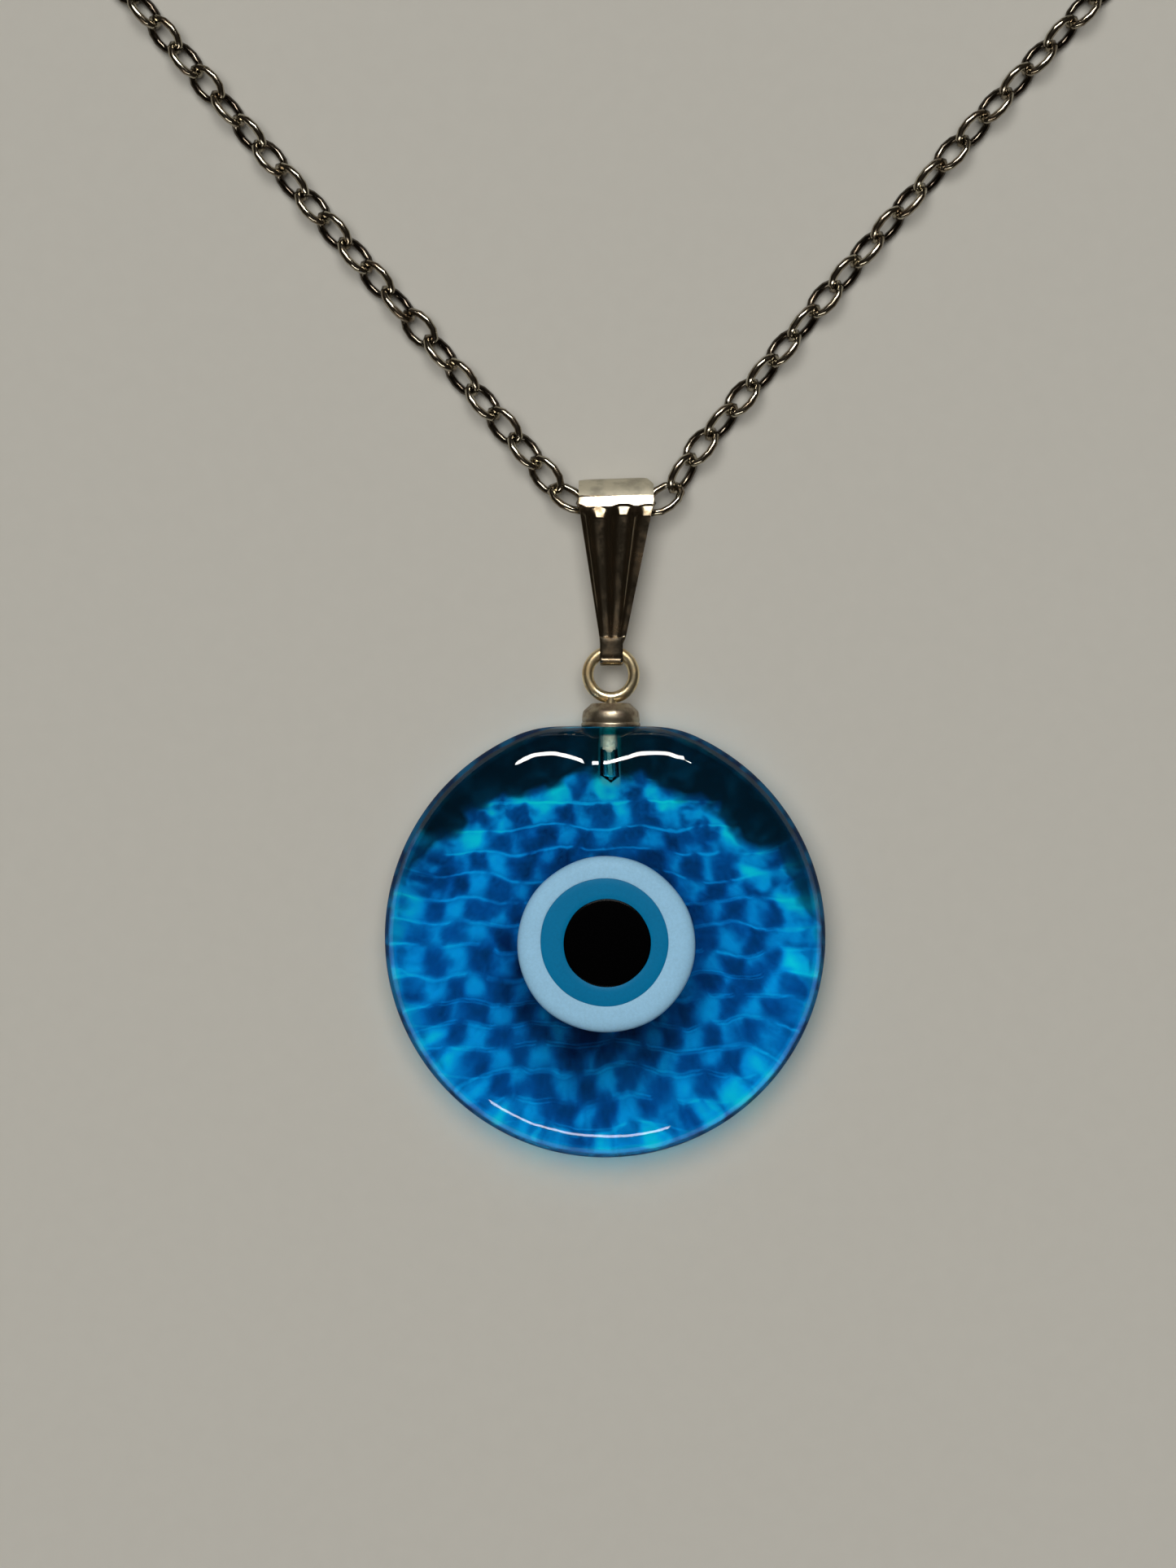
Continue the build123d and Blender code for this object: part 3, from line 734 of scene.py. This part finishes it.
def disc_tree():
    """A geometry tree that turns a sheet into the disc: outline, rounding, ripples and dimple."""
    tree = bpy.data.node_groups.new("pressed_disc", "GeometryNodeTree")
    tree_inputs(tree, (
        "Radius", "Thickness", "Round Radial", "Round Axial", "Back Edge", "Top Flat", "Ripple", "Wave",
        "Dimple", "Dimple Place", "Seed", "Glass"), {"Glass": "Material"})
    nodes = Nodes(tree)
    given = nodes.add("NodeGroupInput")
    radius, thickness = given.other("Radius"), given.other("Thickness")
    radial, axial, back = given.other("Round Radial"), given.other("Round Axial"), given.other("Back Edge")
    sheet = nodes.add("GeometryNodeMeshGrid", {}, {
        "Size X": 1.0, "Size Y": 1.0, "Vertices X": 361, "Vertices Y": 121})
    flat = nodes.part(nodes.add("GeometryNodeInputPosition"), "X")
    turn = (flat + 0.5) * (2 * math.pi)
    run = flat.other("Y") + 0.5
    quarter = math.pi / 2
    under = run.between(0.0, UNDER_END)
    edge = run.between(UNDER_END, EDGE_END) * quarter
    wall = run.between(EDGE_END, WALL_END)
    front = run.between(WALL_END, FRONT_END) * quarter
    face = run.between(FRONT_END, 1.0)
    reach = (radius - back) * under + back * edge.math("SINE") - radial * (1 - front.math("COSINE"))
    reach = reach - (radius - radial) * face
    height = back * (1 - edge.math("COSINE")) + (thickness - axial - back) * wall
    height = height + axial * front.math("SINE")
    sine = turn.math("SINE")
    cut = given.other("Top Flat") / (radius * sine.math("MAXIMUM", 0.05))
    outline = cut.math("SMOOTH_MIN", 1.0, 0.06)
    x = reach * outline * turn.math("COSINE")
    y = reach * outline * sine
    above = height / thickness
    share = reach / radius
    off_pin = (x - given.other("Dimple Place")) / (1.9 * MM)
    hollow = 0 - off_pin * off_pin
    hollow = hollow.math("EXPONENT") * share.step(0.7, 0.98) * (y / radius).step(0.3, 0.6)
    pock = 0 - (off_pin + 0.16) * (off_pin + 0.16) * 22
    pock = pock.math("EXPONENT") * share.step(0.68, 0.76) * (y / radius).step(0.3, 0.6) * 0.1 * MM
    sunk = (hollow * given.other("Dimple") + pock) * above.step(0.35, 0.7)
    around = nodes.join(turn.math("COSINE"), sine, share * 0.25 + given.other("Seed"))
    ripples = nodes.noise(around, 7.0, 2.0, 0.55) - 0.5
    waves = nodes.noise(nodes.join(x, y, given.other("Seed")), 330.0, 1.0) - 0.5
    rim = share.step(0.6, 0.88)
    lift = ripples * given.other("Ripple") * rim * 2 + waves * given.other("Wave") * 2 * share.step(0.44, 0.5)
    lift = lift * above.step(0.3, 0.6) * (1 - face.step(0.85, 1.0))
    swell = 1 + ripples * given.other("Ripple") * 0.6 / radius * (1 - above.step(0.2, 0.9)) * rim
    place = nodes.join(x * swell, y * swell, height - sunk + lift)
    shaped = nodes.add("GeometryNodeSetPosition", {}, {"Geometry": sheet, "Position": place})
    closed = nodes.add("GeometryNodeMergeByDistance", {}, {"Geometry": shaped, "Distance": 2e-7})
    real = nodes.add("GeometryNodeRealizeInstances", {}, {0: closed})
    tinted = nodes.add("GeometryNodeSetMaterial", {}, {0: real, "Material": given.other("Glass")})
    nodes.add("NodeGroupOutput", {}, {0: tinted})
    return tree


def hole_cutter():
    """The drill's shape, down through the rim to its cone tip, in place."""
    wide = HOLE_RADIUS
    rows = [(0.0, 8.68), (0.06, 8.7), (0.3, 8.86), (wide, 9.0), (wide, 9.7), (wide, GLUE_Y),
            (wide, 12.6), (0.0, 12.6)]
    return new_object("hole", turned("hole", rows, 40, False))


class PENDANT_OT_disc(bpy.types.Operator):
    """Press the glass disc and drill the hole in its rim"""

    bl_idname = "pendant.press_disc"
    bl_label = "Press the Disc"

    def execute(self, context):
        sizes = context.scene.pendant_disc
        glass = blue_glass(sizes)
        blank = new_object("blank", bpy.data.meshes.new("blank"))
        grow(blank, disc_tree(), sizes, {
            "Dimple Place": HANG_X - DIMPLE_OFFSET, "Seed": 3.0, "Glass": glass})
        pressed = evaluated_mesh(blank)
        bpy.data.objects.remove(blank)
        shape = bmesh.new()
        shape.from_mesh(pressed)
        close_up(shape, 2e-7)
        open_edges = sum(1 for edge in shape.edges if not edge.is_manifold)
        shape.to_mesh(pressed)
        shape.free()
        if open_edges:
            raise RuntimeError(f"the disc has {open_edges} open edges")
        drilled = new_object("drilled", pressed)
        cutter = hole_cutter()
        drill = drilled.modifiers.new("drill", "BOOLEAN")
        drill.operation = "DIFFERENCE"
        drill.solver = "EXACT"
        drill.object = cutter
        finished = evaluated_mesh(drilled)
        bpy.data.objects.remove(drilled)
        bpy.data.objects.remove(cutter)
        disc = place_mesh("glass_body", finished, glass, "pendant", 40)
        finished.materials.append(clear_wall())
        finished.materials.append(clear_cement("glued_wall", 0.08))
        for face in finished.polygons:
            spot = face.center
            off_axis = math.hypot(spot.x - HANG_X, spot.z - HANG_Z)
            drilled_out = off_axis < (HOLE_RADIUS + 0.005) * MM and HOLE_TIP_Y * MM < spot.y < RIM_Y * MM
            glued = drilled_out and spot.y > GLUE_Y * MM
            face.material_index = 2 if glued else 1 if drilled_out else 0
        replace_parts(disc, "glass_disc")
        return {"FINISHED"}


# ---- the eye

class PENDANT_OT_eye(bpy.types.Operator):
    """Drop the white, the iris and the pupil, each into a seat in the one below"""

    bl_idname = "pendant.drop_eye"
    bl_label = "Drop the Eye"

    def execute(self, context):
        look = context.scene.pendant_eye
        uneven = look.uneven / MM
        white_x, white_y, white_r = self.middle(WHITE_LOW, WHITE_HIGH)
        iris_x, iris_y, iris_r = self.middle(IRIS_LOW, IRIS_HIGH)
        pupil_x, pupil_y, pupil_r = self.middle(PUPIL_LOW, PUPIL_HIGH)
        base, top = WHITE_LOW.z / MM, WHITE_HIGH.z / MM
        iris_seat, pupil_seat = IRIS_LOW.z / MM, PUPIL_LOW.z / MM
        white_edge = (white_x, white_y, uneven, 1.0)
        iris_edge = (iris_x, iris_y, uneven * 0.6, 2.0)
        pupil_edge = (pupil_x, pupil_y, uneven * 0.6, 3.0)
        white_r = white_r - uneven
        white = [
            (iris_edge, 1.2, iris_seat), (iris_edge, iris_r - 0.02, iris_seat),
            (iris_edge, iris_r, iris_seat + 0.02), (iris_edge, iris_r, top - 0.02),
            (iris_edge, iris_r + 0.03, top - 0.002), (white_edge, iris_r + 0.35, top),
            (white_edge, iris_r + 0.6, top - 0.015)]
        for step in range(13):
            angle = math.radians(10 + 80 * step / 12)
            white.append((white_edge, white_r - 0.75 + 0.75 * math.sin(angle),
                          top - 0.56 + 0.54 * math.cos(angle)))
        white += [(white_edge, white_r - 0.02, base + 0.2), (white_edge, white_r - 0.12, base)]
        self.drop("white", white, opaque_glass(
            "white_glass", look.white, 0.8, 0.5, 0.16 * MM, 0.012 * MM))
        iris_top = IRIS_HIGH.z / MM
        iris = [
            (pupil_edge, 1.0, pupil_seat), (pupil_edge, pupil_r - 0.02, pupil_seat),
            (pupil_edge, pupil_r, pupil_seat + 0.02), (pupil_edge, pupil_r, iris_top - 0.02),
            (pupil_edge, pupil_r + 0.03, iris_top - 0.002), (pupil_edge, pupil_r + 0.3, iris_top - 0.003),
            (iris_edge, iris_r - 0.4, iris_top - 0.015), (iris_edge, iris_r - 0.06, iris_top - 0.028),
            (iris_edge, iris_r - 0.01, iris_top - 0.045), (iris_edge, iris_r - 0.01, iris_seat + 0.03),
            (iris_edge, iris_r - 0.03, iris_seat)]
        self.drop("iris", iris, opaque_glass(
            "iris_glass", look.iris, 0.78, 0.45, 0.14 * MM, 0.008 * MM))
        pupil_top = PUPIL_HIGH.z / MM
        pupil = [
            (pupil_edge, 0.8, pupil_top), (pupil_edge, 1.5, pupil_top - 0.006),
            (pupil_edge, 2.0, pupil_top - 0.014), (pupil_edge, pupil_r - 0.15, pupil_top - 0.022),
            (pupil_edge, pupil_r - 0.04, pupil_top - 0.032), (pupil_edge, pupil_r - 0.01, pupil_top - 0.055),
            (pupil_edge, pupil_r - 0.01, pupil_seat + 0.03), (pupil_edge, pupil_r - 0.03, pupil_seat)]
        self.drop("pupil", pupil, opaque_glass(
            "pupil_glass", look.pupil, 0.6, 0.28, 0.14 * MM, 0.006 * MM, 0.04))
        return {"FINISHED"}

    def middle(self, low, high):
        """Middle and radius of a round layer, in millimetres."""
        return (low.x + high.x) / 2 / MM, (low.y + high.y) / 2 / MM, (high.x - low.x) / 2 / MM

    def drop(self, layer, profile, material):
        """One layer, from (edge, radius, height); each ring is as uneven as its edge."""
        rings = [(x, y, radius, z, uneven * min(1.0, radius / 2), seed)
                 for (x, y, uneven, seed), radius, z in profile]
        name = layer + "_layer"
        piece = place_mesh(name, stacked_rings(name, rings), material, "pendant")
        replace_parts(piece, "eye_" + layer)


# ---- the bail

# The middle of the strip's top, in millimetres
BAIL_MIDDLE_X = 0.63
# How far the flutes are moved across the strip, as a share of its width, and how high each one reaches
FLUTE_SHIFT = 0.095
FLUTE_TOPS = (24.62, 24.4, 24.54, 24.48)
# The strip's bend round the ring, its roll round the chain, and where its flat front begins and ends
FOOT_RADIUS = 0.64
ROLL_RADIUS = 1.45
NECK_Y = 16.98
SHOULDER_Y = 17.08


def bail_section():
    """The outside of the folded strip seen from its side, (y, z) in millimetres, once round."""
    points = []
    foot_y, foot_z, foot_r = BAIL_LOW.y / MM + FOOT_RADIUS, HANG_Z / MM, FOOT_RADIUS
    roll_y, roll_z, roll_r = BAIL_HIGH.y / MM - ROLL_RADIUS, ROLL_RADIUS, ROLL_RADIUS
    for step in range(10):
        points.append((foot_y + 0.9 * step / 10, 2.63 - 0.05 * step / 10))
    points += [(16.97, 2.565), (16.99, 2.69), (SHOULDER_Y, 2.7)]
    for step in range(1, 53):
        points.append((SHOULDER_Y + 6.32 * step / 52, 2.7 + 0.18 * step / 52))
    for step in range(1, 21):
        points.append((23.4 + 0.05 * step, 2.88 + 0.02 * step / 20))
    z = 2.9
    for step in range(1, 13):
        slope = min(0.15 * step, 0.23) + 0.006 * step
        z -= 0.05 * slope
        points.append((24.4 + 0.05 * step, z))
    points += [(25.04, z - 0.01), (25.08, z - 0.03)]
    for step in range(1, 13):
        share = step / 12
        points.append((25.08 + 0.94 * share, z - 0.03 - (z - 1.82) * (0.45 * share + 0.55 * share ** 3)))
    for step in range(0, 25):
        angle = math.radians(4 - 103 * step / 24)
        points.append((roll_y + roll_r * math.cos(angle), roll_z + roll_r * math.sin(angle)))
    for step in range(1, 24):
        share = step / 24
        points.append((24.41 + (15.92 - 24.41) * share, 0.018 + (1.368 - 0.018) * share))
    for step in range(0, 17):
        angle = math.radians(-99 - 169 * step / 16)
        points.append((foot_y + foot_r * math.cos(angle), foot_z + foot_r * math.sin(angle)))
    return points[:-1]


def bail_sides(y):
    """Left and right side of the strip at a height, in millimetres."""
    left_top, right_top = BAIL_LOW.x / MM, BAIL_HIGH.x / MM
    share = clamped(y - 16.95, 24.64 - 16.95)
    left, right = -0.31 + (left_top + 0.31) * share, 1.17 + (right_top - 1.17) * share
    neck = clamped(NECK_Y - y, 0.06)
    corner = 0.9 * max(y - 25.7, 0.0)
    return left + (-0.29 - left) * neck, right + (1.01 - right) * neck - corner


class PENDANT_OT_bail(bpy.types.Operator):
    """Fold the fluted bail round the chain and the ring"""

    bl_idname = "pendant.fold_bail"
    bl_label = "Fold the Bail"

    def execute(self, context):
        sizes = context.scene.pendant_bail
        section = bail_section()
        count = len(section)
        columns = 61
        outer, inner = [], []
        for index in range(count):
            y, z = section[index]
            y_before, z_before = section[index - 1]
            y_after, z_after = section[(index + 1) % count]
            away = Vector((z_before - z_after, y_after - y_before)).normalized()
            left, right = bail_sides(y)
            for column in range(columns):
                share = column / (columns - 1)
                x = left + (right - left) * share
                sink = self.flute(sizes, y, share) if away.y > 0.6 else 0.0
                curl = 0.1 * (2 * share - 1) ** 8
                lean = 0.035 * (x - BAIL_MIDDLE_X) * clamped(y - 23.5, 1.5)
                for rows, depth in ((outer, sink), (inner, sink + sizes.wall / MM)):
                    rows.append((x * MM, (y + lean - away.x * (depth + curl * 0.5)) * MM,
                                 (z - away.y * (depth + curl * 0.5)) * MM))
        faces = []
        shift = len(outer)
        for row in range(count):
            after = (row + 1) % count
            for column in range(columns - 1):
                a, b = row * columns + column, row * columns + column + 1
                c, d = after * columns + column + 1, after * columns + column
                faces.append((a, b, c, d))
                faces.append((shift + a, shift + d, shift + c, shift + b))
            for column in (0, columns - 1):
                a, d = row * columns + column, after * columns + column
                faces.append((a, d, shift + d, shift + a))
        mesh = mesh_from("folded_bail", outer + inner, faces)
        # The top of the roll gets a painted reflection: a pale, dull band
        metal = plated_metal(
            "bail_plating", sizes.bright, sizes.worn, 0.15, 1.4 * MM, 0.004 * MM,
            dull=(sizes.fold, BAIL_HIGH.y - 1.08 * MM, BAIL_HIGH.y - 0.98 * MM))
        bail = place_mesh("folded_bail", mesh, metal, "bail", 32)
        edge = bail.modifiers.new("worn_edge", "BEVEL")
        edge.width = 0.03 * MM
        edge.segments = 2
        edge.limit_method = "ANGLE"
        edge.angle_limit = math.radians(50)
        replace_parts(bail, "bail")
        return {"FINISHED"}

    def flute(self, sizes, y, share):
        """How deep the flutes are at one place, in millimetres."""
        across = sizes.flutes * (share - FLUTE_SHIFT)
        wave = 1 - (1 - abs(math.sin(math.pi * across))) ** 1.5
        arch = FLUTE_TOPS[math.floor(across) + 1] - 0.2 * (1 - wave)
        begin = clamped(arch - y, 0.62)
        end = 0.45 + 0.55 * clamped(y - SHOULDER_Y, 1.8)
        left, right = bail_sides(y)
        width_share = (right - left) / ((BAIL_HIGH.x - BAIL_LOW.x) / MM)
        below_neck = y <= NECK_Y + 0.005
        return 0.0 if below_neck else sizes.flute_depth / MM * width_share * wave * begin * end


# ---- fittings

class PENDANT_OT_fittings(bpy.types.Operator):
    """Finish the cap, the pin, its cement and the clasp"""

    bl_idname = "pendant.finish_fittings"
    bl_label = "Finish the Fittings"

    def execute(self, context):
        cap = plated_metal("cap_plating", (0.38, 0.33, 0.24), (0.22, 0.17, 0.12), 0.36, 0.6 * MM, 0.012 * MM)
        # Painted reflection: the pin's pale, dull peg stands in for its bright brass seen through the glass
        pin = plated_metal(
            "pin_brass", (0.84, 0.72, 0.46), (0.6, 0.45, 0.24), 0.3, 0.7 * MM, 0.006 * MM,
            dull=((0.95, 0.88, 0.7), CAP_LOW.y + 0.1 * MM, CAP_LOW.y - 0.1 * MM))
        clasp = plated_metal(
            "clasp_plating", (0.8, 0.72, 0.56), (0.58, 0.46, 0.3), 0.22, 1.5 * MM, 0.006 * MM)
        steel = plated_metal("spring_steel", (0.6, 0.6, 0.6), (0.4, 0.39, 0.38), 0.3, 0.3 * MM, 0.004 * MM)
        base = CAP_LOW.y / MM
        profile = [(1.56, 0.0), (1.64, 0.02), (1.68, 0.08), (1.69, 0.16), (1.66, 0.24), (1.62, 0.28),
                   (1.62, 0.34), (1.64, 0.4), (1.63, 0.6), (1.6, 0.82), (1.56, 0.92), (1.46, 1.03),
                   (1.3, 1.17), (1.2, 1.26), (1.14, 1.33), (1.06, 1.37), (0.42, 1.37), (0.36, 1.33),
                   (0.36, 1.15), (0.9, 1.12), (1.2, 0.9), (1.4, 0.7), (1.42, 0.3), (1.44, 0.02)]
        cup = turned("cup", [(reach, base + y) for reach, y in profile], 72, True)
        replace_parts(place_mesh("cap_cup_turned", cup, cap, "pendant", 42), "cap_cup")
        profile = [(0.37, base - 1.38), (0.46, base - 1.4), (0.47, base - 1.3), (0.47, base - 0.06),
                   (0.45, base - 0.02), (0.37, base - 0.03)]
        sleeve = turned("sleeve", profile, 40, True)
        cement = clear_cement("clear_cement", 0.25)
        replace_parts(place_mesh("cement_sleeve", sleeve, cement, "pendant"), "pin_cement")
        refinish("eye_pin", pin)
        for node in ("clasp_body", "clasp_trigger", "clasp_pivot_pin"):
            refinish(node, clasp)
        refinish("clasp_spring", steel)
        return {"FINISHED"}


# ---- the stage

def aim(piece, place, target):
    """Puts a light or a camera in place, pointing at a target."""
    piece.location = place
    piece.rotation_euler = (Vector(target) - Vector(place)).to_track_quat("-Z", "Y").to_euler()


def panel_light(name, power, width, height, off_vertical_deg, side_x, distance, colour):
    """A rectangular light that leans off the vertical towards +Y, or towards -Y if negative."""
    light = bpy.data.lights.new(name, "AREA")
    light.shape = "RECTANGLE"
    light.size = width
    light.size_y = height
    light.energy = power
    light.color = colour
    lamp = new_object(name, light)
    lean = math.radians(off_vertical_deg)
    aim(lamp, (side_x, distance * math.sin(lean), distance * math.cos(lean)), (0.0, 0.006, 0.003))
    return lamp


class PENDANT_OT_stage(bpy.types.Operator):
    """Lay the floor and set the lights and the camera"""

    bl_idname = "pendant.set_stage"
    bl_label = "Set the Stage"

    def execute(self, context):
        scene = context.scene
        sizes = scene.pendant_stage
        self.lay_floor(sizes)
        strip = panel_light(
            "strip_light", sizes.key, width=0.185, height=0.045, off_vertical_deg=36, side_x=0.005,
            distance=0.32, colour=(1.0, 0.98, 0.95))
        low = panel_light(
            "low_light", sizes.fill, width=0.24, height=0.035, off_vertical_deg=-47, side_x=-0.035,
            distance=0.34, colour=(1.0, 0.97, 0.92))
        strip.visible_diffuse = False
        low.visible_diffuse = False
        soft = panel_light(
            "soft_light", sizes.soft, width=1.0, height=1.0, off_vertical_deg=12, side_x=-0.1,
            distance=1.2, colour=(1.0, 0.99, 0.97))
        even = bpy.data.lights.new("even_light", "SUN")
        even.energy = sizes.even
        even.angle = math.radians(45)
        even.color = (1.0, 0.99, 0.97)
        even_lamp = new_object("even_light", even)
        aim(even_lamp, soft.location, (0.0, 0.0, 0.0))
        for lamp in (soft, even_lamp):
            lamp.visible_glossy = False
            lamp.visible_transmission = False
        world = bpy.data.worlds.new("room")
        scene.world = world
        world.use_nodes = True
        world.node_tree.nodes.clear()
        nodes = Nodes(world.node_tree)
        dim_room = nodes.add("ShaderNodeBackground", {}, {"Color": (0.5, 0.4, 0.3, 1.0), "Strength": 0.04})
        backdrop = nodes.add("ShaderNodeBackground", {}, {"Color": with_alpha(sizes.floor), "Strength": 0.5})
        seen = nodes.add("ShaderNodeLightPath", out="Is Camera Ray")
        nodes.add("ShaderNodeOutputWorld", {}, {"Surface": nodes.mix(dim_room, backdrop, seen)})
        scene.view_settings.view_transform = "Standard"
        camera = bpy.data.cameras.new("camera")
        camera.sensor_width = 36.0
        camera.lens = 36.0 * sizes.distance / sizes.view_height
        camera.clip_start = 0.002
        eye = new_object("camera", camera)
        eye.location = (-0.97 * MM, 8.68 * MM, sizes.distance + 2 * MM)
        scene.camera = eye
        return {"FINISHED"}

    def lay_floor(self, sizes):
        """A plain pale floor under everything."""
        reach, drop = 1.5, -0.03 * MM
        corners = [(-reach, -reach, drop), (reach, -reach, drop), (reach, reach, drop), (-reach, reach, drop)]
        mesh = bpy.data.meshes.new("floor")
        mesh.from_pydata(corners, [], [(0, 1, 2, 3)])
        floor = new_object("floor", mesh)
        material, nodes = new_material("floor")
        grain = nodes.noise(nodes.object_place(), 900.0, 3.0)
        tone = nodes.blend(with_alpha(sizes.floor), with_alpha(sizes.floor, 0.96), grain)
        show_surface(nodes, nodes.principled({
            "Base Color": tone, "Roughness": 0.9, "Specular IOR Level": 0.2}))
        mesh.materials.append(material)


# ---- the add-on

class PENDANT_PT_panel(bpy.types.Panel):
    """Every step of building the pendant"""

    bl_idname = "PENDANT_PT_panel"
    bl_label = "Evil Eye Pendant"
    bl_space_type = "VIEW_3D"
    bl_region_type = "UI"
    bl_category = "Pendant"

    def draw(self, context):
        for operator in STEPS:
            self.layout.operator(operator.bl_idname)


STEPS = (PENDANT_OT_chain, PENDANT_OT_disc, PENDANT_OT_eye, PENDANT_OT_bail, PENDANT_OT_fittings,
         PENDANT_OT_stage)
GROUPS = {"pendant_chain": ChainSettings, "pendant_disc": DiscSettings, "pendant_eye": EyeSettings,
          "pendant_bail": BailSettings, "pendant_stage": StageSettings}


def register():
    """Registers the settings, the operators and the panel."""
    for name, group in GROUPS.items():
        bpy.utils.register_class(group)
        setattr(bpy.types.Scene, name, PointerProperty(type=group))
    for operator in STEPS:
        bpy.utils.register_class(operator)
    bpy.utils.register_class(PENDANT_PT_panel)


def unregister():
    """Takes them away again."""
    bpy.utils.unregister_class(PENDANT_PT_panel)
    for operator in reversed(STEPS):
        bpy.utils.unregister_class(operator)
    for name, group in reversed(GROUPS.items()):
        delattr(bpy.types.Scene, name)
        bpy.utils.unregister_class(group)


def main():
    """Builds everything in order."""
    register()
    bpy.ops.pendant.string_chain()
    bpy.ops.pendant.press_disc()
    bpy.ops.pendant.drop_eye()
    bpy.ops.pendant.fold_bail()
    bpy.ops.pendant.finish_fittings()
    bpy.ops.pendant.set_stage()


if __name__ == "__main__":
    main()
